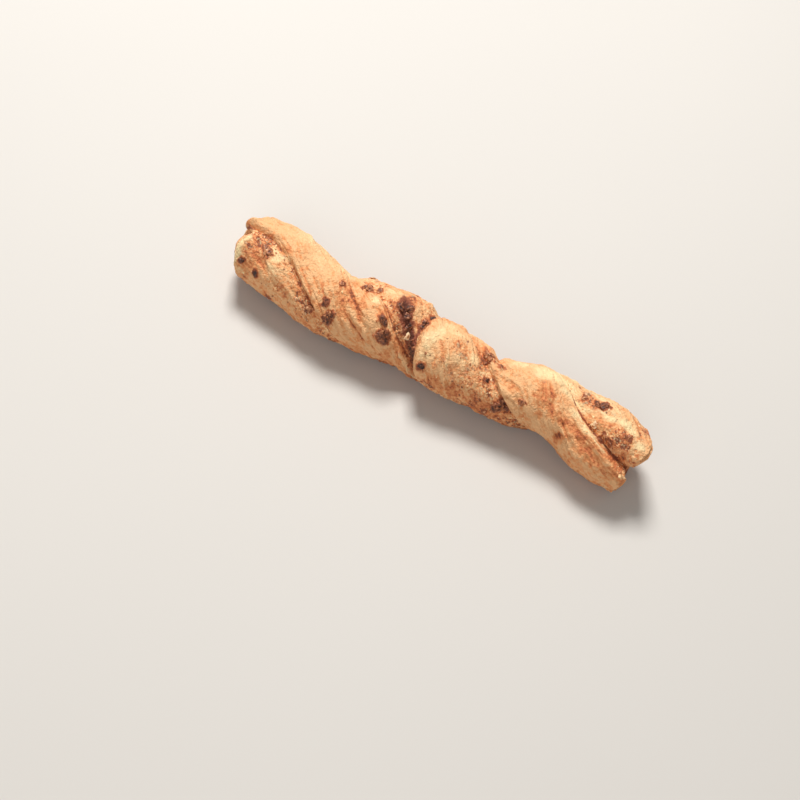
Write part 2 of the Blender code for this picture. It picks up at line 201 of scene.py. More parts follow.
def bell(distance, width):
    """1 at zero, falling off smoothly over the width."""
    return np.exp(-((distance / width) ** 2))


def one_sided_bump(distance, steep, gentle):
    """1 at zero, falling off over `steep` where the distance is negative and over `gentle` beyond it."""
    reach = np.where(distance < 0, steep, gentle)
    return np.exp(-(np.abs(distance) / reach) ** BUMP_POWER)


def past_seams(along, angle):
    """Arc from the lower and from the upper seam, in millimetres, positive on the rough roll."""
    to_arc = np.radians(1) * roll_radius(along)
    return turned(angle - lower_seam(along)) * to_arc, -turned(angle - upper_seam(along)) * to_arc


def past_fold(along, angle):
    """Distance past the fold's line, in millimetres along."""
    return along - (FOLD_PLACE + FOLD_CURVE * (turned(angle) - FOLD_ANGLE) ** 2)


def seam_cut(arc, depth, waist):
    """How far a seam sinks the surface, from the arc past it. The smooth roll has a raised lip."""
    lip = LIP_SHARE * depth * bell(arc - LIP_PLACE, LIP_WIDTH)
    return depth * one_sided_bump(arc, SEAM_STEEP, SEAM_GENTLE) - lip + waist * bell(arc, WAIST_REACH)


def fold_cut(along, angle):
    """How far the fold sinks the surface: a long slope on its left side, a round nose on its right."""
    past = past_fold(along, angle)
    nose = NOSE_SHARE * bell(past - NOSE_PLACE, NOSE_WIDTH)
    bump = one_sided_bump(-past, FOLD_STEEP, FOLD_GENTLE) - nose
    return np.maximum(fold_depth(turned(angle)), 0) * bump


def past_melt(along, angle):
    """Distance past the line of the melted cheese, in millimetres along."""
    return along - melt_place(turned(angle))


def melt_cut(along, angle):
    """How far the trough of melted cheese sinks the surface."""
    return np.maximum(melt_depth(turned(angle)), 0) * bell(past_melt(along, angle), MELT_WIDTH)


def crease_cut(along, angle):
    """How far the shallow crease sinks the surface."""
    past = along - crease_place(turned(angle))
    return np.maximum(crease_depth(turned(angle)), 0) * one_sided_bump(-past, CREASE_STEEP, CREASE_GENTLE)


def surface_radius(along, angle):
    """Distance of the crust from the straw's axis, in millimetres, without its lumps."""
    past_lower, past_upper = past_seams(along, angle)
    radius = roll_radius(along) - seam_cut(past_lower, lower_seam_depth(along), lower_waist(along))
    radius = radius - seam_cut(past_upper, upper_seam_depth(along), upper_waist(along))
    return radius - fold_cut(along, angle) - melt_cut(along, angle) - crease_cut(along, angle)


def noise_at(points, size, shift=0.0):
    """Smooth noise of this grain at points in millimetres, about -0.6 to 0.6, its own for each shift."""
    flat = (np.asarray(points, float) / size + shift).reshape(-1, 3)
    return np.array([noise.noise(point) for point in flat.tolist()]).reshape(np.shape(points)[:-1])


def granules_at(points, size, shift):
    """Round lumps of the given size with creases between them: 1 on their tops, 0 in the creases."""
    flat = (points / size + shift).reshape(-1, 3)
    nearest = np.array([noise.voronoi(point)[0][0] for point in flat.tolist()])
    return np.clip(1 - nearest, 0, 1).reshape(points.shape[:-1])


def placed(along, angle):
    """The distance along, once the uneven ends have drawn the nearby crust with them."""
    near_left = np.clip(1 - along / END_REACH, 0, 1) ** 2
    near_right = np.clip(1 - (LENGTH - along) / END_REACH, 0, 1) ** 2
    return along + near_left * left_end(turned(angle)) + near_right * right_end(turned(angle))


def round_axis(along, angle, radius):
    """Points in millimetres at these distances from the bent axis."""
    across, up = -np.sin(np.radians(angle)), np.cos(np.radians(angle))
    return np.stack([along, sideways_bend(along) + radius * across, AXIS_HEIGHT + radius * up], axis=-1)


def swollen_points(along, angle, radius):
    """Points in millimetres this far from the bent axis, with their lumps, and flat where the tray was."""
    bare = round_axis(along, angle, radius)
    lumps = sum(height * noise_at(bare, size) for size, height in LUMPS)
    points = round_axis(along, angle, radius * (1 + lumps / roll_radius(along)))
    points[..., 2] = np.maximum(points[..., 2], 0.0)
    return points


def crust_points(along, angle):
    """Points of the crust between the two ends, without the fine relief."""
    place = placed(along, angle)
    return swollen_points(place, angle, surface_radius(place, angle))


# ---------------------------------------------------------------- the dough's fine grid
COLUMNS_PER_ROLL = 118
BODY_RINGS = 360
EDGE_RINGS = 10
FACE_RINGS = 16
# The innermost ring of an end face as a share of the radius, and how sharply the face begins at its rim
FIRST_FACE_RING = 0.03
FACE_RIM_POWER = 6
# How much closer the columns stand at the seams than elsewhere, 0 to 1
CROWDING = 0.5
# Layers of dough seen on the end faces: (share of the radius, depth, width) of the gap under each
LAYER_GAPS = [(0.74, 1.8, 0.07), (0.48, 0.9, 0.05), (0.9, 0.7, 0.03)]
# The gap under the outermost layer at the right end's rounded edge: degrees round the edge, and its depth
EDGE_GAP_LEAN = 52.0
EDGE_GAP_WIDTH = 13.0
EDGE_GAP_DEPTH = 1.3


def column_angles(along):
    """Angles of the mesh's columns, which follow both seams and crowd beside them."""
    even = np.arange(COLUMNS_PER_ROLL) / COLUMNS_PER_ROLL
    shares = even - CROWDING * np.sin(math.tau * even) / math.tau
    lower, upper = float(lower_seam(along)), float(upper_seam(along))
    return np.concatenate([upper + shares * (lower - upper), lower + shares * (upper + 360 - lower)])


def crust_ring(along):
    """A ring of the crust as (distances along, angles, radii)."""
    angle = column_angles(along)
    place = placed(np.full(len(angle), along), angle)
    return place, angle, surface_radius(place, angle)


def edge_ring(end, lean):
    """A ring of the rounded edge between crust and end face, at `lean` degrees round its corner."""
    angle = column_angles(end)
    rim = placed(np.full(len(angle), end), angle)
    corner = math.radians(lean)
    reach = END_ROUNDING
    if end:
        reach = END_ROUNDING - EDGE_GAP_DEPTH * bell(lean - EDGE_GAP_LEAN, EDGE_GAP_WIDTH)
    radius = surface_radius(rim, angle) - END_ROUNDING + reach * math.cos(corner)
    outward = 1 if end else -1
    return rim + outward * reach * math.sin(corner), angle, radius


def face_ring(end, share):
    """A ring of an end face, from the rim at 1 to the middle at 0."""
    angle = column_angles(end)
    rim = placed(np.full(len(angle), end), angle)
    radius = share * (surface_radius(rim, angle) - END_ROUNDING)
    seam = upper_seam(end) if end else lower_seam(end)
    slit = SLIT_DEPTH * bell(radius * np.sin(np.radians(angle - seam)), SLIT_WIDTH)
    gaps = sum(depth * bell(share - place, width) for place, depth, width in LAYER_GAPS)
    outward, middle = (1, RIGHT_FACE_MIDDLE) if end else (-1, LEFT_FACE_MIDDLE)
    crust_end = rim + outward * END_ROUNDING
    return middle + (crust_end - middle) * share**2 - outward * (slit + gaps), angle, radius


def end_rings(end, shares):
    """Rings of an end, from the middle of its face out to the crust."""
    leans = 90 * np.arange(1, EDGE_RINGS + 1) / (EDGE_RINGS + 0.5)
    return [face_ring(end, share) for share in shares] + [edge_ring(end, lean) for lean in leans[::-1]]


def dough_grid():
    """Rings of the whole surface, from the middle of the left end face to the middle of the right one."""
    shares = np.linspace(FIRST_FACE_RING, 1.0, FACE_RINGS)
    body = [crust_ring(along) for along in np.linspace(0, LENGTH, BODY_RINGS)]
    rings = end_rings(0.0, shares) + body + end_rings(LENGTH, shares)[::-1]
    along, angle, radius = (np.array(rows) for rows in zip(*rings))
    on_face = np.zeros(along.shape)
    on_face[:FACE_RINGS] = 1 - shares[:, None] ** FACE_RIM_POWER
    on_face[-FACE_RINGS:] = 1 - shares[::-1, None] ** FACE_RIM_POWER
    return SimpleNamespace(along=along, angle=angle, radius=radius, on_face=on_face)


# ---------------------------------------------------------------- where the crust is toasted, pale, crumbly
# Soft patches: (millimetres along, degrees round, reach along, reach round in millimetres, strength)
TOASTED = [
    (10, 30, 9, 12, 0.5), (12, 50, 8, 7, 0.45), (20, 15, 8, 6, 0.3), (38, 50, 12, 9, 0.25),
    (52, 58, 8, 5, 0.42), (72, 22, 13, 9, 0.35), (92, 6, 6, 7, 0.35), (99, -22, 4, 4, 0.75),
    (108, 70, 5, 12, 0.35), (139, 14, 3.5, 3, 0.7), (133, 6, 3, 3, 0.6), (141, 42, 3, 4, 0.55),
    (131, 34, 2.5, 3, 0.6), (147, 30, 3, 3, 0.5), (136, 80, 12, 8, 0.4), (152, 62, 10, 9, 0.3),
    (150, -16, 4, 9, 0.7), (160, 96, 16, 10, 0.5), (191, 14, 6, 8, 0.54), (198, 34, 9, 6, 0.45),
    (208, 64, 2.2, 10, 0.6), (215, 46, 8, 5, 0.54), (226, 62, 10, 7, 0.34), (209, -26, 6, 4, 0.7),
    (218, -20, 6, 5, 0.6), (224, 8, 8, 4, 0.4), (239, 14, 5, 4, 0.85), (247, -30, 5, 14, 0.5),
    (236, 40, 12, 4, 0.5), (243, 62, 5, 5, 0.4), (30, -120, 14, 14, 0.5), (70, -100, 12, 9, 0.5),
    (112, -112, 12, 12, 0.45), (150, -118, 16, 12, 0.5), (190, -120, 12, 12, 0.45),
    (230, -110, 14, 10, 0.5), (90, 170, 60, 22, 0.5), (190, 175, 60, 20, 0.5), (20, 175, 24, 20, 0.5),
]
# Pale patches, partly flour and partly painted highlight: on the lit tops of the rolls, along their
# top-back edges and on the left end's rim
PALE_AND_LIT = [
    (0, 56, 4, 18, 1.0), (22, 22, 6, 3, 1.0), (226, -12, 9, 4, 0.9), (236, -12, 7, 5, 1.0),
    (248, -4, 5, 6, 1.0), (220, 26, 7, 3, 1.0), (110, 36, 1.6, 3, 1.0), (137, 30, 10, 10, 0.55),
    (184, -20, 10, 7, 1.0), (60, -74, 30, 7, 0.6), (120, -66, 30, 6, 0.6), (205, -70, 34, 7, 0.8),
    (14, -74, 14, 7, 0.5), (34, -40, 22, 14, 0.6), (48, -10, 14, 8, 0.5), (60, -22, 10, 5, 0.7),
    (90, -30, 10, 6, 0.7), (84, 6, 5, 3, 0.9), (24, 40, 6, 5, 0.6), (120, 2, 5, 14, 0.8),
    (128, -18, 10, 7, 0.6), (122, 40, 5, 10, 0.6), (146, 12, 3, 8, 0.7), (156, 6, 5, 9, 0.5),
    (172, -30, 12, 6, 0.7), (192, -28, 18, 7, 1.0), (206, -6, 14, 4, 0.9), (214, 20, 12, 3, 0.9),
    (228, 30, 12, 2.5, 0.9), (216, -44, 12, 5, 0.8), (228, -30, 12, 5, 0.6), (196, 70, 10, 6, 0.4),
    (60, -96, 14, 8, 0.6), (140, -80, 14, 9, 0.6), (205, -110, 12, 8, 0.6),
]
FLAKY = [
    (216, 64, 12, 10, 1.0), (198, 24, 12, 9, 0.6), (92, 20, 14, 12, 0.7), (12, 20, 12, 12, 0.8),
    (140, 60, 16, 14, 0.7), (226, -10, 10, 8, 0.7), (60, 30, 14, 10, 0.5), (168, -20, 12, 8, 0.5),
    (40, -100, 30, 16, 0.8), (120, -110, 30, 16, 0.8), (200, -110, 30, 16, 0.8), (120, 120, 90, 14, 0.6),
]
# How level a patch's middle is, and how far noise of what grain pulls its outline about
SPOT_POWER = 1.3
WARP_REACH = 5.0
WARP_SIZE = 9.0


def spots(crust, rows):
    """The strongest of several soft patches at each point of the crust, with uneven outlines."""
    found = np.zeros(crust.along.shape)
    arc_per_degree = np.radians(1) * roll_radius(crust.along)
    for along, angle, reach_along, reach_round, strength in rows:
        ahead = (crust.along + crust.warp - along) / reach_along
        aside = (turned(crust.angle - angle) * arc_per_degree + crust.warp_aside) / reach_round
        found = np.maximum(found, strength * np.exp(-(ahead**2 + aside**2) ** SPOT_POWER))
    return found


def beside_seams(crust, place, width):
    """How near the crust is to the line this far past either seam, 0 to 1."""
    return np.maximum(bell(crust.past_lower - place, width), bell(crust.past_upper - place, width))


# How much browner the crust is in its places: just past the seams, and towards the tray, partly real
# browning of the underside and partly painted shade of its lower side; and how much less brown where it is
# pale with flour and painted highlight
SEAM_DARKENING = 0.22
UNDERSIDE_TOAST_AND_SHADE = 0.5
ROUGH_TOAST = 0.06
CRACK_TOAST = 0.45
LESS_BROWN_WHERE_PALE = 0.15


def toast_mask(crust):
    """How browned the crust is: in patches, darker just past the seams, on the rough roll, and towards the
    tray, partly real browning and partly painted shade of the lower side.
    """
    # Darker in a strip just past each seam
    seam = beside_seams(crust, place=1.0, width=2.6)
    # Darker towards the tray: partly the underside's real browning, partly painted shade of the lower side
    low = np.clip((AXIS_HEIGHT - crust.points[..., 2]) / AXIS_HEIGHT, 0, 1)
    patches = spots(crust, TOASTED) - LESS_BROWN_WHERE_PALE * spots(crust, PALE_AND_LIT)
    toast = patches + SEAM_DARKENING * seam + UNDERSIDE_TOAST_AND_SHADE * low
    return toast + ROUGH_TOAST * crust.rough + CRACK_TOAST * crust.crack


# How pale the raised lips are, with flour and painted highlight, and how much paleness the end faces lose
PALE_LIP = 0.7
PALE_LOST_ON_FACE = 0.3


def pale_mask(crust):
    """How pale the crust is, 0 to 1: flour and painted highlight in patches and on the lips, less on the
    end faces.
    """
    pale = np.maximum(spots(crust, PALE_AND_LIT), PALE_LIP * crust.lip)
    return np.clip(pale - PALE_LOST_ON_FACE * crust.on_face, 0, 1)


# Dark melted cheese, with painted shade of its trough: (degrees, width) and (degrees, strength) keys, and
# how ragged its outline is
MELTED_WIDTH = [(-30, 3.0), (0, 4.2), (35, 4.2), (70, 2.8), (110, 2.4)]
MELTED_STRENGTH = [(-40, 0.0), (-14, 0.9), (20, 1.0), (90, 1.0), (130, 0.0)]
MELTED_WARP = 0.3
melted_width = smooth_keys(MELTED_WIDTH, blur=6.0)
melted_strength = smooth_keys(MELTED_STRENGTH, blur=6.0)
# Painted shadow of the fold's nose, a thin dark line before the fold: (degrees, strength) keys, its place
# past the fold and its width
FOLD_SHADOW = [(-30, 0.0), (-5, 0.1), (15, 0.7), (90, 0.7), (130, 0.0)]
FOLD_LINE_PLACE = -0.8
FOLD_LINE_WIDTH = 1.2
fold_shadow = smooth_keys(FOLD_SHADOW, blur=4.0)
# Painted shade along each seam, a dark line: its places past them, width and strength, and the seam's depth
# that has all of it
LOWER_LINE_PLACE = 0.5
UPPER_LINE_PLACE = 0.7
SEAM_LINE_WIDTH = 1.0
SEAM_SHADE = 0.5
FULLY_SHADED_SEAM_DEPTH = 5.0


def painted_seam_shade(past, depth):
    """Painted shade in a seam, a dark line from the arc past it: the deeper the seam, the darker."""
    return bell(past, SEAM_LINE_WIDTH) * np.clip(depth / FULLY_SHADED_SEAM_DEPTH, 0, 1)


def dark_mask(crust):
    """How dark the crust is, 0 to 1: melted cheese with painted shade in its trough, painted shadow before
    the fold and painted shade in the seams.
    """
    angle = turned(crust.angle)
    past = past_melt(crust.along, angle) + MELTED_WARP * crust.warp
    melt = melted_strength(angle) * bell(past, melted_width(angle))
    past = past_fold(crust.along, angle) - FOLD_LINE_PLACE
    painted_fold_shadow = fold_shadow(angle) * bell(past, FOLD_LINE_WIDTH)
    lower = painted_seam_shade(crust.past_lower - LOWER_LINE_PLACE, lower_seam_depth(crust.along))
    upper = painted_seam_shade(crust.past_upper - UPPER_LINE_PLACE, upper_seam_depth(crust.along))
    in_roll = np.maximum(melt, painted_fold_shadow) * crust.rough
    return np.clip(np.maximum(in_roll, SEAM_SHADE * np.maximum(lower, upper)), 0, 1)


def blotches(crust, size, shift, middle, contrast):
    """Soft blotches of random form, 0 to 1."""
    return np.clip(middle + contrast * noise_at(crust.points, size, shift), 0, 1)


# What is left of the crumbly crust away from the seams and between its blotches, and on the smooth roll
CRUMBLY_REST = 0.4
CRUMBLY_SMOOTH = 0.25


def crumbly_mask(crust):
    """How crumbly the crust is, 0 to 1: most on the rough roll beside the seams, less on the smooth one."""
    patchy = blotches(crust, size=12.0, shift=5.0, middle=0.5, contrast=1.6)
    near_share = CRUMBLY_REST + (1 - CRUMBLY_REST) * beside_seams(crust, place=0, width=9.0)
    patchy_share = CRUMBLY_REST + (1 - CRUMBLY_REST) * patchy
    return np.clip(crust.rough * near_share * patchy_share + CRUMBLY_SMOOTH * patchy, 0, 1)


# The smooth roll's lip: how far off the seam, its width, the noise that pulls it about, and its share of
# height along the lower seam
LIP_AWAY = 2.3
LIP_SPREAD = 1.0
LIP_JAG = 1.6
LIP_JAG_SIZE = 5.0
LOWER_LIP = 0.6


def lip_mask(crust):
    """The jagged raised lip of the smooth roll along both seams, 0 to 1, missing in places."""
    jag = noise_at(crust.points, LIP_JAG_SIZE, shift=31.0)
    lower = bell(crust.past_lower + LIP_AWAY + LIP_JAG * jag, LIP_SPREAD)
    upper = bell(crust.past_upper + LIP_AWAY + LIP_JAG * jag, LIP_SPREAD)
    present = blotches(crust, size=11.0, shift=37.0, middle=0.55, contrast=1.8)
    return np.maximum(LOWER_LIP * lower, upper) * present * (1 - crust.rough)


# Thin brown cracks: the (degrees round, millimetres along) keys of each
CRACKS = [
    [(40, 71), (60, 81), (81, 96), (106, 104)],
    [(-42, 226), (-31, 229), (-22, 234)],
    [(-36, 198), (-29, 203), (-21, 209)],
    [(19, 203), (27, 209), (36, 217)],
    [(52, 204), (66, 208), (78, 212)],
    [(-30, 56), (0, 66), (20, 74)],
    [(-120, 44), (-90, 66), (-60, 82)],
    [(-130, 176), (-100, 186), (-76, 200)],
]
CRACK_WIDTH = 0.8
# Degrees over which a crack's ends fade, and how ragged it is
CRACK_ENDS = 8.0
CRACK_JAG = 0.22


def crack_mask(crust):
    """How close the crust is to one of its thin cracks, 0 to 1."""
    angle = turned(crust.angle)
    found = np.zeros(angle.shape)
    for keys in CRACKS:
        first, last = keys[0][0], keys[-1][0]
        present = np.clip(np.minimum(angle - first, last - angle) / CRACK_ENDS, 0, 1)
        away = crust.along + CRACK_JAG * crust.warp - smooth_keys(keys)(angle)
        found = np.maximum(found, present * bell(away, CRACK_WIDTH))
    return found


# The browned halo round a bit: its reach as a share of the bit's width, and the noise that pulls it about
HALO = 0.42
HALO_WARP = 2.0
HALO_WARP_SIZE = 1.9


def baked_mask(crust, bits):
    """How close the crust is to a browned bit, with a ragged edge: 1 on a bit, 0 beyond its halo."""
    ragged = HALO_WARP * noise_at(crust.points, HALO_WARP_SIZE, shift=60.0)
    found = np.zeros(crust.along.shape)
    for bit in bits:
        if bit.tone == LIGHT:
            continue
        distance = np.linalg.norm(crust.points - np.array(bit.here), axis=-1) + ragged
        reach = HALO * bit.width
        found = np.maximum(found, np.clip((bit.width / 2 + reach - distance) / reach, 0, 1))
    return found


# ---------------------------------------------------------------- fine relief
# Streaks along the twist: broad and fine ones, and thin creases. The rolls' noise is kept ROLLS_APART
ROLLS_APART = 7.0
STREAK_WARP = 3.2
STREAK_WARP_SIZE = 13.0
BROAD_LENGTH = 26.0
BROAD_WIDTH = 4.4
BROAD_HEIGHT = 0.9
FINE_LENGTH = 7.0
FINE_WIDTH = 2.0
FINE_HEIGHT = 0.35
LINE_SHARE = 0.07
LINE_DEPTH = 0.45


def streaks(crust):
    """Height of the streaks and of the thin creases that run along the twist."""
    across = crust.across + STREAK_WARP * noise_at(crust.points, STREAK_WARP_SIZE, shift=11.0)
    roll = ROLLS_APART * crust.rough
    broad = np.stack([crust.along / BROAD_LENGTH, across / BROAD_WIDTH, roll], axis=-1)
    fine = np.stack([crust.along / FINE_LENGTH, across / FINE_WIDTH, roll], axis=-1)
    line = bell(noise_at(broad, 1.0, shift=3.0), LINE_SHARE)
    return BROAD_HEIGHT * noise_at(broad, 1.0) + FINE_HEIGHT * noise_at(fine, 1.0) - LINE_DEPTH * line


# Round granules: (size, height) of each kind, their mean height, and their share of the patches' warp
GRANULE_SIZES = [(3.4, 0.9), (1.9, 0.6)]
GRANULE_MEAN = 0.75
GRANULE_WARP = 0.35


def granular_relief(crust):
    """Height of the crumb: round granules of two sizes with creases between them."""
    warped = crust.points + GRANULE_WARP * np.stack([crust.warp, crust.warp_aside, crust.warp], axis=-1)
    grains = sum(height * granules_at(warped, size, shift=9.0) for size, height in GRANULE_SIZES)
    return grains - GRANULE_MEAN


# Thin flakes: grain, softness of the edge, height, how far the edge curls up and the mean, as shares of the
# height, and the share of finer noise in their outline
FLAKE_SIZE = 6.5
FLAKE_EDGE = 0.07
FLAKE_HEIGHT = 0.55
FLAKE_CURL = 0.7
FLAKE_MEAN = 0.6
FLAKE_RAGGED = 0.4


def flake_relief(crust):
    """Height of thin flakes: level patches with sharp, curled edges."""
    rise = noise_at(crust.points, FLAKE_SIZE, shift=70.0)
    rise = rise + FLAKE_RAGGED * noise_at(crust.points, FLAKE_SIZE / 3, shift=71.0)
    step = np.clip(0.5 + rise / FLAKE_EDGE, 0, 1)
    curl = FLAKE_CURL * bell(rise - FLAKE_EDGE, FLAKE_EDGE)
    return FLAKE_HEIGHT * crust.flaky * (step + curl - FLAKE_MEAN)


# Dimples all over, and how much the lips and the browned halos rise and the cracks sink
DIMPLE_SIZE = 2.3
DIMPLE_HEIGHT = 0.25
LIP_HEIGHT = 0.8
BAKED_HEIGHT = 0.35
CRACK_DEPTH = 0.3
# How much of the streaks is lost where the crust is crumbly
STREAKS_LOST = 0.6
# How granular the crust is anywhere, and how much more where it is crumbly, baked or on an end face
GRANULAR = 0.3
GRANULAR_CRUMBLY = 0.7
GRANULAR_BAKED = 0.5
GRANULAR_FACE = 0.5


def fine_relief(crust):
    """Height of the fine relief, in millimetres."""
    smoothness = (1 - STREAKS_LOST * crust.crumbly) * (1 - crust.on_face)
    granular = GRANULAR + GRANULAR_CRUMBLY * crust.crumbly + GRANULAR_BAKED * crust.baked
    granular = np.clip(granular + GRANULAR_FACE * crust.on_face, 0, 1)
    relief = smoothness * streaks(crust) + granular * granular_relief(crust) + flake_relief(crust)
    relief += DIMPLE_HEIGHT * noise_at(crust.points, DIMPLE_SIZE, shift=2.0)
    return relief + LIP_HEIGHT * crust.lip + BAKED_HEIGHT * crust.baked - CRACK_DEPTH * crust.crack


def study_crust(bits):
    """The fine grid with its points, masks and fine relief."""
    crust = dough_grid()
    crust.past_lower, crust.past_upper = past_seams(crust.along, crust.angle)
    columns = np.arange(2 * COLUMNS_PER_ROLL)
    crust.rough = np.broadcast_to((columns >= COLUMNS_PER_ROLL).astype(float), crust.along.shape)
    seam = np.where(crust.rough > 0, lower_seam(crust.along), upper_seam(crust.along))
    crust.across = (crust.angle - seam) * np.radians(1) * roll_radius(crust.along)
    crust.points = swollen_points(crust.along, crust.angle, crust.radius)
    crust.warp = WARP_REACH * noise_at(crust.points, WARP_SIZE, shift=20.0)
    crust.warp_aside = WARP_REACH * noise_at(crust.points, WARP_SIZE, shift=40.0)
    crust.crumbly = crumbly_mask(crust)
    crust.lip = lip_mask(crust)
    crust.flaky = spots(crust, FLAKY)
    crust.baked = baked_mask(crust, bits)
    crust.crack = crack_mask(crust)
    crust.relief = fine_relief(crust)
    crust.toast = toast_mask(crust)
    crust.pale = pale_mask(crust)
    crust.dark = dark_mask(crust)
    crust.relieved = relieved_points(crust)
    return crust


def relieved_points(crust):
    """Points with the fine relief: outwards on the crust, along the straw on the end faces."""
    on_crust = crust.relief * (1 - crust.on_face)
    outward = np.sign(crust.along - LENGTH / 2)
    along = crust.along + outward * crust.relief * crust.on_face
    return swollen_points(along, crust.angle, crust.radius + on_crust)


def grid_faces(rings, columns):
    """Quads between the rings of a closed grid, and triangles from its two outer rings to a pole each."""
    ring, column = np.meshgrid(np.arange(rings - 1), np.arange(columns), indexing="ij")
    here = ring * columns + column
    beside = ring * columns + (column + 1) % columns
    quads = np.stack([here, here + columns, beside + columns, beside], axis=-1).reshape(-1, 4)
    around = np.arange(columns)
    after = (around + 1) % columns
    first = np.full(columns, rings * columns)
    near = np.stack([first, around, after], axis=-1)
    far = np.stack([first + 1, first - columns + after, first - columns + around], axis=-1)
    return quads.tolist() + near.tolist() + far.tolist()


def to_frame(points):
    """Millimetres of the form as metres of the solid's frame, kept inside the solid's box."""
    low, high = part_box("cheese_straw")
    return np.clip((np.asarray(points) - np.array(BOX_MIDDLE)) * MM, low, high)


def mesh_object(name, points, faces, material):
    """A smooth-shaded object of these points and faces."""
    mesh = bpy.data.meshes.new(name)
    mesh.from_pydata(points, [], faces)
    mesh.shade_smooth()
    mesh.materials.append(material)
    made = bpy.data.objects.new(name, mesh)
    bpy.context.scene.collection.objects.link(made)
    return made


def add_values(made, name, values):
    """A number for each of the mesh's points, which its material reads."""
    layer = made.data.attributes.new(name, "FLOAT", "POINT")
    layer.data.foreach_set("value", np.asarray(values, np.float32).ravel())


def with_poles(grid):
    """The grid's values in ring order, followed by the means of its first and last ring."""
    flat = grid.reshape(-1, *grid.shape[2:])
    return np.concatenate([flat, grid[:1].mean(axis=1), grid[-1:].mean(axis=1)])


# The masks that the dough's material reads, and how far apart its noise keeps the two rolls
MASKS = ("toast", "pale", "dark", "baked", "crumbly", "relief", "on_face")
TWISTS_APART = 60


def add_dough(crust, material):
    """The dough piece, with its masks and its places along the twist as attributes."""
    rings, columns = crust.along.shape
    points = to_frame(with_poles(crust.relieved))
    straw = mesh_object("straw_dough", points, grid_faces(rings, columns), material)
    for name in MASKS:
        add_values(straw, name, with_poles(getattr(crust, name)))
    twist = np.stack([crust.along, crust.across, TWISTS_APART * crust.rough], axis=-1)
    layer = straw.data.attributes.new("twist", "FLOAT_VECTOR", "POINT")
    layer.data.foreach_set("vector", with_poles(twist).astype(np.float32).ravel())
    return straw


# ---------------------------------------------------------------- cheese bits
# Tones of the cheese, where 0 is dark and 1 is light
DARK = 0.08
MELTED_TONE = 0.22
DIM = 0.3
BROWN = 0.5
LIGHT = 0.95
# (millimetres along, degrees round, reach of the patch, number of bits, width of a bit, tone)
PATCHES = [
    (3, 63, 0.0, 1, 3.0, DARK),
    (16, 23, 3.0, 3, 3.4, BROWN),
    (18, 51, 0.0, 1, 3.2, DARK),
    (15, 69, 0.0, 1, 3.4, DARK),
    (29, 90, 4.0, 2, 2.6, DIM),
    (36, 55, 0.0, 1, 2.6, BROWN),
    (51, 62, 3.0, 3, 3.4, BROWN),
    (60, 43, 1.5, 2, 4.2, DIM),
    (65, 61, 2.6, 4, 4.4, DIM),
    (62, 7, 0.0, 1, 3.6, BROWN),
    (76, -29, 6.0, 5, 3.6, BROWN),
    (93, 31, 2.2, 3, 4.3, DIM),
    (96, 51, 2.8, 4, 4.5, DIM),
    (111, -4, 3.0, 3, 3.8, DIM),
    (114, -30, 0.0, 1, 3.8, DARK),
    (123, 60, 0.0, 1, 4.4, DARK),
    (151, -10, 4.5, 4, 3.6, BROWN),
    (161, -12, 0.0, 1, 4.2, BROWN),
    (158, 30, 0.0, 1, 3.8, DARK),
    (170, 66, 5.5, 6, 4.2, DIM),
    (165, 90, 0.0, 1, 3.0, BROWN),
    (180, 80, 0.0, 1, 3.0, BROWN),
    (181, 45, 0.0, 1, 2.6, BROWN),
    (209, -25, 0.0, 1, 3.0, BROWN),
    (218, -20, 4.0, 4, 4.4, DIM),
    (222, 18, 2.5, 2, 3.4, LIGHT),
    (231, 33, 4.5, 4, 3.2, BROWN),
    (240, 11, 4.0, 4, 2.6, BROWN),
]
# Patches at the back: first and last degree, their number and the most bits in one
REAR_PATCHES = (-150, -66, 12, 4)
REAR_REACH = 5.0
REAR_WIDTHS = (3.0, 4.6)
# Bits in the melted cheese: first and last degree, number and width, how far off its line, and a light one
MELTED_BITS = (-14, 112, 13, 4.4)
MELTED_SPREAD = (-3.0, 2.0)
PALE_MELTED_BIT = 5
# How far along its own stretch a rear patch lies, and how far round its own stretch a melted bit
REAR_STRAY = (0.3, 0.8)
MELTED_STRAY = (0.2, 0.8)
# Ranges of a bit's width, length and breadth, its depth and its roughness, as shares
WIDTH_SHARES = (0.75, 1.15)
BIT_STRETCH = (0.95, 1.25)
BIT_SQUEEZE = (0.8, 1.0)
BIT_DEPTH = 0.46
BIT_ROUGHNESS = 0.18
# Narrower bits are left out, and so are lower bits and crumbs
SMALLEST_BIT = 2.7
LOWEST_BIT = 6.0
# The step, in millimetres along and in degrees round, that finds the crust's directions
NORMAL_STEP = 0.4


def bit_places(draw):
    """Every bit's distance along, angle round, width and tone, by the solid's own rule and draw."""
    patches = list(PATCHES)
    first, last, number, most = REAR_PATCHES
    for index in range(number):
        along = LENGTH * (index + draw.uniform(*REAR_STRAY)) / number
        angle = draw.uniform(first, last)
        bits = draw.randint(1, most)
        patches.append((along, angle, REAR_REACH, bits, draw.uniform(*REAR_WIDTHS), BROWN))
    for along, angle, reach, bits, width, tone in patches:
        for index in range(bits):
            away = reach * math.sqrt((index + 0.5) / bits)
            turn = draw.uniform(0, math.tau)
            spread = math.degrees(away * math.sin(turn) / ROLL_RADIUS[0][1])
            yield along + away * math.cos(turn), angle + spread, width * draw.uniform(*WIDTH_SHARES), tone
    first, last, number, width = MELTED_BITS
    for index in range(number):
        angle = first + (last - first) * (index + draw.uniform(*MELTED_STRAY)) / number
        along = float(melt_place(angle)) + draw.uniform(*MELTED_SPREAD)
        tone = LIGHT if index == PALE_MELTED_BIT else MELTED_TONE
        yield along, angle, width * draw.uniform(*WIDTH_SHARES), tone


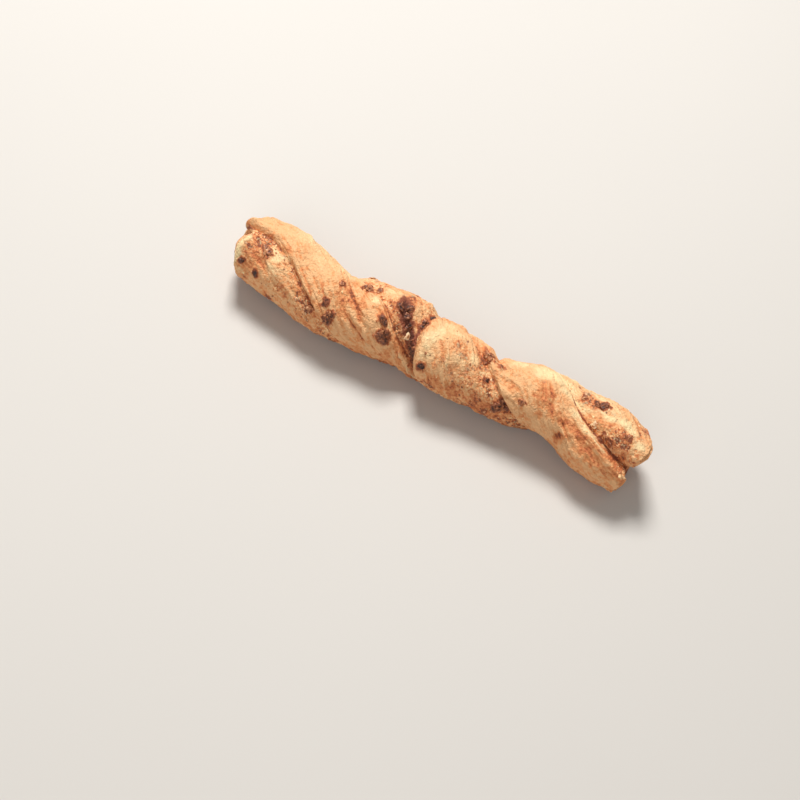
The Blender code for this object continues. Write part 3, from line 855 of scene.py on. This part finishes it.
def crust_frame(along, angle):
    """A point of the crust with the directions along it, round it and out of it."""
    alongs = np.array([along, along + NORMAL_STEP, along])
    angles = np.array([angle, angle, angle + NORMAL_STEP])
    here, ahead, round_it = (Vector(point) for point in crust_points(alongs, angles))
    forward = (ahead - here).normalized()
    outward = (round_it - here).cross(ahead - here).normalized()
    return here, Matrix((forward, outward.cross(forward), outward)).transposed()


def find_bits():
    """The solid's bits, each with its place, size, directions and tone."""
    found = []
    for along, angle, width, tone in bit_places(random.Random(SEED)):
        here, axes = crust_frame(along, angle)
        if width > SMALLEST_BIT and here.z > LOWEST_BIT:
            name = f"{along:.3f} {angle:.3f} {width:.3f}"
            found.append(SimpleNamespace(name=name, width=width, tone=tone, here=here, axes=axes))
    return found


# A bit narrower than this is small. (subdivisions of the solid's ball, finer cuts) of small and large ones
SMALL_BIT = 3.9
SMALL_BALL = (1, 5)
LARGE_BALL = (2, 3)
CUT_SMOOTHING = 0.8
# Fine lumps of a bit's skin: (size in millimetres, height as a share of its radius)
BIT_LUMPS = [(1.7, 0.6), (0.7, 0.3)]
# How much lighter a lump's top and a bit's rim are
LUMP_TONE = 0.8
RIM_TONE = 0.2


def bit_mesh(bit):
    """Points in millimetres, faces and tones of one rough bit, with the solid's own coarse shape."""
    draw = random.Random(bit.name)
    shape = bmesh.new()
    subdivisions, cuts = SMALL_BALL if bit.width < SMALL_BIT else LARGE_BALL
    bmesh.ops.create_icosphere(shape, subdivisions=subdivisions, radius=bit.width / 2)
    for vert in shape.verts:
        vert.co *= 1 + draw.uniform(-BIT_ROUGHNESS, BIT_ROUGHNESS)
    stretch = Matrix.Diagonal((draw.uniform(*BIT_STRETCH), draw.uniform(*BIT_SQUEEZE), BIT_DEPTH))
    turn = bit.axes @ Matrix.Rotation(draw.uniform(0, math.tau), 3, "Z") @ stretch
    bmesh.ops.subdivide_edges(shape, edges=shape.edges, cuts=cuts, smooth=CUT_SMOOTHING, use_grid_fill=True)
    bmesh.ops.triangulate(shape, faces=shape.faces)
    bare = np.array([vert.co for vert in shape.verts])
    rise = sum(height * noise_at(bare + bit.here, size, shift=4.0) for size, height in BIT_LUMPS)
    faces = np.array([[vert.index for vert in face.verts] for face in shape.faces])
    shape.free()
    points = (bare * (1 + rise[:, None])) @ np.array(turn).T + np.array(bit.here)
    rim = 1 - np.abs(bare[:, 2]) / (bit.width / 2)
    return points, faces, bit.tone + LUMP_TONE * rise + RIM_TONE * rim


def join(meshes):
    """Several (points, faces, tones) as one."""
    starts = np.cumsum([0] + [len(points) for points, _, _ in meshes[:-1]])
    points = np.concatenate([points for points, _, _ in meshes])
    faces = np.concatenate([faces + start for (_, faces, _), start in zip(meshes, starts)])
    return points, faces, np.concatenate([tones for _, _, tones in meshes])


def add_toned(name, mesh, material):
    """A piece made from (points, faces, tones)."""
    points, faces, tones = mesh
    made = mesh_object(name, to_frame(points), faces.tolist(), material)
    add_values(made, "tone", tones)
    return made


# ---------------------------------------------------------------- fine crumbs
# Brown and pale crumbs: how many, their widths in millimetres, and their tones
CRUMBS = 240
CRUMB_WIDTHS = (0.6, 1.8)
CRUMB_TONES = (0.45, 0.95)
PALE_CRUMBS = 260
PALE_WIDTHS = (0.6, 1.6)
PALE_TONES = (0.3, 0.9)
# A crumb's roughness, length and depth, and how deep it sits in the crust, as shares of its width
CRUMB_ROUGHNESS = 0.22
CRUMB_LENGTH = (0.8, 1.6)
CRUMB_DEPTH = 0.6
CRUMB_SUNK = 0.12
# Keeps a direction of no length from a division by zero
SHORTEST_AXIS = 1e-9


def crust_axes(points):
    """Unit directions along the straw, round it and out of it, at each point of the grid."""
    forward = np.gradient(points, axis=0)
    sideways = np.roll(points, -1, axis=1) - np.roll(points, 1, axis=1)
    outward = np.cross(sideways, forward)
    axes = np.stack([forward, np.cross(outward, forward), outward], axis=-2)
    return axes / np.maximum(np.linalg.norm(axes, axis=-1, keepdims=True), SHORTEST_AXIS)


def ball():
    """Points and triangles of a unit ball."""
    shape = bmesh.new()
    bmesh.ops.create_icosphere(shape, subdivisions=2, radius=1.0)
    points = np.array([vert.co for vert in shape.verts])
    faces = np.array([[vert.index for vert in face.verts] for face in shape.faces])
    shape.free()
    return points, faces


def scatter(crust, chance, number, widths, tones, draw):
    """Rough crumbs on the crust, more of them where the chance is higher, as (points, faces, tones)."""
    chance = np.where(crust.points[..., 2] > LOWEST_BIT, chance, 0.0).ravel()
    picked = draw.choice(chance.size, number, replace=False, p=chance / chance.sum())
    centres = crust.relieved.reshape(-1, 3)[picked]
    axes = crust_axes(crust.points).reshape(-1, 3, 3)[picked]
    corners, faces = ball()
    low, high = widths
    sizes = low + (high - low) * draw.random((number, 1, 1)) ** 2
    lumpy = 1 + CRUMB_ROUGHNESS * draw.uniform(-1, 1, (number, len(corners), 1))
    length = draw.uniform(*CRUMB_LENGTH, number)
    stretch = np.stack([length, np.ones(number), np.full(number, CRUMB_DEPTH)], axis=-1)
    local = corners * lumpy * sizes / 2 * stretch[:, None, :]
    local[..., 2] -= CRUMB_SUNK * sizes[..., 0]
    points = centres[:, None, :] + local @ axes
    all_faces = faces + len(corners) * np.arange(number)[:, None, None]
    shade = draw.uniform(*tones, (number, 1)) + LUMP_TONE * (lumpy[..., 0] - 1)
    return points.reshape(-1, 3), all_faces.reshape(-1, 3), shade.ravel()


def crumb_chance(crust):
    """How likely a brown crumb is: most in blotches of the rough roll and half-way out in a bit's halo."""
    loose = crust.rough * blotches(crust, size=10.0, shift=80.0, middle=0.3, contrast=2.0)
    near_bits = crust.baked * (1 - crust.baked) * 4
    return (loose + near_bits) * (1 - crust.dark) * (1 - crust.on_face)


# How likely a pale crumb is anywhere, on the crumbly rough roll and on a lip. Beside a seam it is 1
PALE_ANYWHERE = 0.02
PALE_ON_CRUMBLY = 0.25
PALE_ON_LIP = 0.5
# The strips beside the seams: how far past them, and the widths of the upper and the lower one
STRIP_PLACE = 2.0
UPPER_STRIP = 2.5
LOWER_STRIP = 2.0
# Places where pale crumbs gather, in the form of the soft patches above, and how likely they are there
CRUMB_HEAPS = [(221, 25, 5, 1.6, 1.0), (22, 21, 5, 2, 0.6), (84, 8, 4, 2, 0.6)]
HEAP_CHANCE = 14.0


def pale_chance(crust):
    """How likely a pale crumb is: beside the seams, on the lips, on crumbly crust and in a few heaps."""
    upper = bell(crust.past_upper - STRIP_PLACE, UPPER_STRIP)
    lower = bell(crust.past_lower - STRIP_PLACE, LOWER_STRIP)
    loose = PALE_ANYWHERE + PALE_ON_CRUMBLY * crust.rough * crust.crumbly
    loose = loose + np.maximum(upper, lower) + PALE_ON_LIP * crust.lip
    loose = loose + HEAP_CHANCE * spots(crust, CRUMB_HEAPS)
    return loose * (1 - crust.dark) * (1 - crust.baked) * (1 - crust.on_face)


# ---------------------------------------------------------------- materials
# Colours, as display values of 0 to 255
# Pale cream of flour, also the colour of the painted highlights
FLOUR_AND_HIGHLIGHT = (253, 228, 174)
CREAM = (241, 184, 130)
GOLD = (233, 156, 98)
TOAST = (206, 116, 68)
BROWN_CRUST = (140, 78, 50)
REDDISH = (150, 82, 56)
# Darkest brown of the melted cheese, also used for painted shade in the seams and trough and the fold's
# painted shadow
MELT_AND_SHADE = (92, 44, 27)
SPECK = (116, 54, 36)
# (place, colour) stops of the crust from raw to brown, of the cheese and of pale crumb by their tone
CRUST_STOPS = [(0.0, CREAM), (0.34, GOLD), (0.72, TOAST), (1.0, BROWN_CRUST)]
CHEESE_STOPS = [
    (0.0, (46, 28, 18)), (0.25, (92, 48, 29)), (0.5, (146, 83, 50)), (0.75, (196, 128, 82)),
    (1.0, (240, 204, 160)),
]
PALE_STOPS = [(0.2, GOLD), (0.55, CREAM), (0.95, FLOUR_AND_HIGHLIGHT)]


def linear(colour):
    """A colour of 0 to 255 display values as the linear values that shaders take, by the sRGB curve."""
    shares = [value / 255 for value in colour]
    return tuple(s / 12.92 if s <= 0.04045 else ((s + 0.055) / 1.055) ** 2.4 for s in shares) + (1.0,)


def new_material(name):
    """A material with its nodes, its Principled shader, and the object's own places for its textures."""
    material = bpy.data.materials.new(name)
    material.use_nodes = True
    tree = material.node_tree
    where = add_node(tree, "ShaderNodeTexCoord").outputs["Object"]
    return material, tree, tree.nodes["Principled BSDF"], where


def set_inputs(tree, node, inputs):
    """Gives a node's inputs their values, or links them to other nodes' outputs."""
    for socket, value in inputs.items():
        if isinstance(value, bpy.types.NodeSocket):
            tree.links.new(value, node.inputs[socket])
        else:
            node.inputs[socket].default_value = value


def add_node(tree, kind, inputs=None, **settings):
    """A node with these settings, whose inputs are values or other nodes' outputs."""
    made = tree.nodes.new(kind)
    for name, value in settings.items():
        setattr(made, name, value)
    set_inputs(tree, made, inputs or {})
    return made


def attribute(tree, name):
    """A mask of the mesh."""
    return add_node(tree, "ShaderNodeAttribute", attribute_name=name).outputs["Fac"]


def grain(tree, where, size, detail=3.0, roughness=0.55):
    """Noise of a grain in millimetres, 0 to 1, over places in metres."""
    inputs = {"Vector": where, "Scale": 1 / (size * MM), "Detail": detail, "Roughness": roughness}
    return add_node(tree, "ShaderNodeTexNoise", inputs).outputs["Fac"]


def twist_grain(tree, length, width):
    """Noise drawn out along the twist: its length and width in millimetres."""
    places = add_node(tree, "ShaderNodeAttribute", attribute_name="twist").outputs["Vector"]
    inputs = {0: places, 1: (1 / length, 1 / width, 1.0)}
    drawn = add_node(tree, "ShaderNodeVectorMath", inputs, operation="MULTIPLY").outputs["Vector"]
    inputs = {"Vector": drawn, "Scale": 1.0, "Detail": 3.0, "Roughness": 0.55}
    return add_node(tree, "ShaderNodeTexNoise", inputs).outputs["Fac"]


def cells(tree, where, size):
    """Cells of a size in millimetres: the distance from each cell's middle, and a colour of its own."""
    made = add_node(tree, "ShaderNodeTexVoronoi", {"Vector": where, "Scale": 1 / (size * MM)})
    return made.outputs["Distance"], made.outputs["Color"]


def calculate(tree, operation, first, second, third=0.0):
    """The result of a sum on two or three values."""
    made = add_node(tree, "ShaderNodeMath", {0: first, 1: second, 2: third}, operation=operation)
    return made.outputs[0]


def varied(tree, value, texture, strength):
    """The value, raised and lowered by a texture of 0 to 1."""
    return calculate(tree, "MULTIPLY_ADD", calculate(tree, "SUBTRACT", texture, 0.5), strength, value)


def between(tree, value, low, high):
    """The value as a smooth step from 0 at low to 1 at high."""
    inputs = {"Value": value, "From Min": low, "From Max": high}
    made = add_node(tree, "ShaderNodeMapRange", inputs, interpolation_type="SMOOTHSTEP")
    return made.outputs["Result"]


def blend_colours(tree, share, first, second):
    """The first colour with a share of the second. A Mix node's colours are its inputs 6 and 7."""
    made = add_node(tree, "ShaderNodeMix", {0: share, 6: first, 7: second}, data_type="RGBA")
    return made.outputs[2]


def ramp(tree, value, stops):
    """A colour looked up from (place, colour) stops."""
    made = add_node(tree, "ShaderNodeValToRGB", {"Fac": value})
    elements = made.color_ramp.elements
    while len(elements) < len(stops):
        elements.new(0.5)
    for element, (place, colour) in zip(elements, stops):
        element.position = place
        element.color = linear(colour)
    return made.outputs["Color"]


def bump(tree, height, depth, strength):
    """The surface's direction over fine relief of this depth in millimetres."""
    inputs = {"Height": height, "Distance": depth * MM, "Strength": strength}
    return add_node(tree, "ShaderNodeBump", inputs).outputs["Normal"]


def crust_grains(tree, where):
    """The crust's grains, which its colour and its relief share."""
    granule, _ = cells(tree, where, size=1.7)
    return SimpleNamespace(
        blotch=grain(tree, where, size=6.0, detail=2.0),
        mottle=grain(tree, where, size=3.0, detail=5.0, roughness=0.58),
        speckle=grain(tree, where, size=0.9, detail=3.0, roughness=0.6),
        granule=granule,
    )


# How much the fine grains vary smooth crust, the patches crumbly crust, the streaks along the twist all but
# the end faces, and the relief's heights the browning, as painted shade in its dips and painted light on
# its tops
SMOOTH_SHARE = 0.4
PATCH_TOAST = 0.45
TWIST_TOAST = 0.7
RELIEF_SHADE = -0.4


def browning(tree, where, grains):
    """How browned the crust looks: its mask, varied by several grains, with painted shade in the granules'
    creases and the relief's dips and painted light on its tops.
    """
    crumbly = attribute(tree, "crumbly")
    fine = varied(tree, 0.0, grains.mottle, strength=2.1)
    fine = varied(tree, fine, grains.speckle, strength=1.0)
    # Darker in the creases between granules, where the bump sinks: painted shade
    fine = varied(tree, fine, grains.granule, strength=0.6)
    loose = calculate(tree, "ADD", crumbly, SMOOTH_SHARE)
    toast = calculate(tree, "MULTIPLY_ADD", fine, loose, attribute(tree, "toast"))
    patchy = between(tree, grain(tree, where, size=5.0, detail=2.0), low=0.53, high=0.59)
    strength = calculate(tree, "MULTIPLY", crumbly, PATCH_TOAST)
    toast = calculate(tree, "MULTIPLY_ADD", patchy, strength, toast)
    toast = varied(tree, toast, grains.blotch, strength=1.1)
    lengthwise = calculate(tree, "MULTIPLY_ADD", attribute(tree, "on_face"), -TWIST_TOAST, TWIST_TOAST)
    toast = varied(tree, toast, twist_grain(tree, length=14.0, width=1.8), lengthwise)
    # Darker in the relief's dips and lighter on its tops: painted shade and painted light
    return calculate(tree, "MULTIPLY_ADD", attribute(tree, "relief"), RELIEF_SHADE, toast)


# How strong the flour and painted highlight, the dust and the specks are
PALE_AND_LIT_STRENGTH = 0.85
DUST_STRENGTH = 0.5
SPECK_STRENGTH = 0.8


def add_flour_and_highlight(tree, grains, colour):
    """Flour and painted highlight over the colour where the crust is pale."""
    flour = varied(tree, attribute(tree, "pale"), grains.mottle, strength=1.6)
    share = calculate(tree, "MULTIPLY", between(tree, flour, low=0.2, high=1.1), PALE_AND_LIT_STRENGTH)
    return blend_colours(tree, share, colour, linear(FLOUR_AND_HIGHLIGHT))


def add_dust(tree, where, colour):
    """Fine pale dust of flour and crumb over the colour of the crumbly crust."""
    dusty = between(tree, grain(tree, where, size=1.1, detail=2.0), low=0.52, high=0.64)
    loose = between(tree, attribute(tree, "crumbly"), low=0.1, high=0.8)
    share = calculate(tree, "MULTIPLY", calculate(tree, "MULTIPLY", dusty, loose), DUST_STRENGTH)
    return blend_colours(tree, share, colour, linear(FLOUR_AND_HIGHLIGHT))


def add_specks(tree, where, colour):
    """Small dark specks of baked cheese over the crumbly crust, in cells whose own colour is red enough."""
    away, own_colour = cells(tree, where, size=3.4)
    red = add_node(tree, "ShaderNodeSeparateColor", {"Color": own_colour}).outputs["Red"]
    ragged = varied(tree, away, grain(tree, where, size=0.7, detail=2.0), strength=0.2)
    spot = calculate(tree, "SUBTRACT", SPECK_STRENGTH, between(tree, ragged, low=0.08, high=0.3))
    share = calculate(tree, "MULTIPLY", spot, between(tree, red, low=0.74, high=0.8))
    loose = between(tree, attribute(tree, "crumbly"), low=0.15, high=0.4)
    return blend_colours(tree, calculate(tree, "MULTIPLY", share, loose), colour, linear(SPECK))


# Stains over the crust, in order: (mask, the values at which it starts and is full, colour). The melted
# ones also carry painted shade in the seams and trough and the fold's painted shadow
STAINS = [
    ("halo", 0.1, 0.6, TOAST),
    ("halo", 0.5, 1.0, BROWN_CRUST),
    ("melted", 0.1, 0.5, REDDISH),
    ("streaky", 0.5, 0.9, MELT_AND_SHADE),
]


def add_stains(tree, grains, colour):
    """Browned halos round the bits, and dark melted cheese with painted shade and shadow in the seams,
    trough and fold, over the colour.
    """
    melted = varied(tree, attribute(tree, "dark"), grains.mottle, strength=1.0)
    masks = {
        "halo": varied(tree, attribute(tree, "baked"), grains.speckle, strength=0.9),
        "melted": melted,
        "streaky": varied(tree, melted, twist_grain(tree, length=1.3, width=6.0), strength=1.0),
    }
    for mask, start, full, stain in STAINS:
        colour = blend_colours(tree, between(tree, masks[mask], start, full), colour, linear(stain))
    return colour


# Heights of the speckle and of the granules in the finest relief, where the mottle's is 1
SPECKLE_HEIGHT = 1.1
GRANULE_HEIGHT = -0.7


def dough_material():
    """Baked dough: cream to brown by its masks and several grains, with specks and a dry, uneven sheen."""
    material, tree, surface, where = new_material("baked_dough_crust")
    grains = crust_grains(tree, where)
    colour = ramp(tree, browning(tree, where, grains), CRUST_STOPS)
    colour = add_flour_and_highlight(tree, grains, colour)
    colour = add_dust(tree, where, colour)
    colour = add_specks(tree, where, colour)
    colour = add_stains(tree, grains, colour)
    sheen = add_node(tree, "ShaderNodeMapRange", {"Value": grains.speckle, "To Min": 0.5, "To Max": 0.8})
    height = calculate(tree, "MULTIPLY_ADD", grains.speckle, SPECKLE_HEIGHT, grains.mottle)
    height = calculate(tree, "MULTIPLY_ADD", grains.granule, GRANULE_HEIGHT, height)
    set_inputs(tree, surface, {
        "Base Color": colour,
        "Roughness": sheen.outputs["Result"],
        "Specular IOR Level": 0.35,
        "Normal": bump(tree, height, depth=0.75, strength=1.0),
    })
    return material


def cheese_material():
    """Baked cheese: dark to light brown by the tone of each bit and its lumps."""
    material, tree, surface, where = new_material("baked_cheese")
    mottle = grain(tree, where, size=1.1, detail=4.0, roughness=0.6)
    tone = varied(tree, attribute(tree, "tone"), mottle, strength=0.8)
    set_inputs(tree, surface, {
        "Base Color": ramp(tree, tone, CHEESE_STOPS),
        "Roughness": 0.48,
        "Specular IOR Level": 0.45,
        "Normal": bump(tree, mottle, depth=0.4, strength=0.8),
    })
    return material


def pale_crumb_material():
    """Dry pale crumb."""
    material, tree, surface, where = new_material("pale_crumb")
    tone = varied(tree, attribute(tree, "tone"), grain(tree, where, size=0.8), strength=0.6)
    set_inputs(tree, surface, {"Base Color": ramp(tree, tone, PALE_STOPS), "Roughness": 0.8})
    return material


# ---------------------------------------------------------------- stage, lights and camera
# The photo's camera: its place in the keys' lengths, the directions towards it and up the picture, its lens
CAMERA_PLACE = Vector((231.8, -483.1, 813.8))
TOWARDS_CAMERA = Vector((0.119, -0.486, 0.866)).normalized()
IMAGE_UP = Vector((-0.508, 0.720, 0.473))
LENS = 74.79
SENSOR = 36.0
FLOOR_SIZE = 6.0
FLOOR_COLOUR = (207, 202, 195)
# How much lighter the floor is in places
FLOOR_VARIATION = 4
# Lights: shares of the picture's upward, camera and rightward directions, then distance, size and watts
LIGHTS = {
    "key": (0.95, 0.55, 0.05, 1.6, 0.5, 29.5),
    "fill": (-0.35, 1.0, -0.3, 1.8, 1.2, 7.5),
}
SURROUND_COLOUR = (1.0, 0.98, 0.95, 1.0)
SURROUND_STRENGTH = 0.26


def view_axes():
    """The picture's rightward, upward and camera directions in the solid's frame."""
    up = (IMAGE_UP - TOWARDS_CAMERA * IMAGE_UP.dot(TOWARDS_CAMERA)).normalized()
    return up.cross(TOWARDS_CAMERA), up, TOWARDS_CAMERA


def add_camera():
    """The camera at the photograph's viewing angle."""
    lens = bpy.data.cameras.new("camera")
    lens.lens = LENS
    lens.sensor_width = SENSOR
    lens.clip_start = 0.01
    camera = bpy.data.objects.new("camera", lens)
    bpy.context.scene.collection.objects.link(camera)
    place = Matrix(view_axes()).transposed().to_4x4()
    place.translation = (CAMERA_PLACE - BOX_MIDDLE) * MM
    camera.matrix_world = place
    bpy.context.scene.camera = camera


def add_area_light(name, direction, distance, size, power):
    """A square soft light that shines on the straw from that direction."""
    light = bpy.data.lights.new(name, "AREA")
    light.size = size
    light.energy = power
    lamp = bpy.data.objects.new(name, light)
    bpy.context.scene.collection.objects.link(lamp)
    lamp.location = direction.normalized() * distance
    lamp.rotation_euler = direction.to_track_quat("Z", "Y").to_euler()


def add_lights():
    """A soft key from the picture's top, a weak fill from the camera's side, and a dim pale surround."""
    right, up, camera = view_axes()
    for name, (upward, forward, rightward, *settings) in LIGHTS.items():
        add_area_light(name, up * upward + camera * forward + right * rightward, *settings)
    world = bpy.data.worlds.new("surround")
    bpy.context.scene.world = world
    world.use_nodes = True
    background = world.node_tree.nodes["Background"]
    background.inputs["Color"].default_value = SURROUND_COLOUR
    background.inputs["Strength"].default_value = SURROUND_STRENGTH


def floor_material():
    """Pale, matte studio floor with a faint unevenness."""
    material, tree, surface, where = new_material("studio_floor")
    shade = grain(tree, where, size=400.0, detail=2.0)
    high = linear([value + FLOOR_VARIATION for value in FLOOR_COLOUR])
    colour = blend_colours(tree, shade, linear(FLOOR_COLOUR), high)
    set_inputs(tree, surface, {"Base Color": colour, "Roughness": 0.9})
    return material


def add_floor():
    """The floor that the straw lies on."""
    half = FLOOR_SIZE / 2
    corners = [(-half, -half, 0), (half, -half, 0), (half, half, 0), (-half, half, 0)]
    mesh_object("floor", corners, [(0, 1, 2, 3)], floor_material())


def add_straw():
    """Every piece of the straw."""
    bits = find_bits()
    crust = study_crust(bits)
    draw = np.random.default_rng(SEED)
    brown = scatter(crust, crumb_chance(crust), CRUMBS, CRUMB_WIDTHS, CRUMB_TONES, draw)
    pale = scatter(crust, pale_chance(crust), PALE_CRUMBS, PALE_WIDTHS, PALE_TONES, draw)
    cheese = cheese_material()
    return [
        add_dough(crust, dough_material()),
        add_toned("cheese_bits", join([bit_mesh(bit) for bit in bits]), cheese),
        add_toned("brown_crumbs", brown, cheese),
        add_toned("pale_crumbs", pale, pale_crumb_material()),
    ]


def main():
    """Puts the looks in the solid's place on the lit floor."""
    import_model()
    for piece in add_straw():
        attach(piece, "root")
        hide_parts("cheese_straw")
    add_floor()
    add_lights()
    add_camera()
    bpy.context.scene.view_settings.view_transform = "Standard"


main()
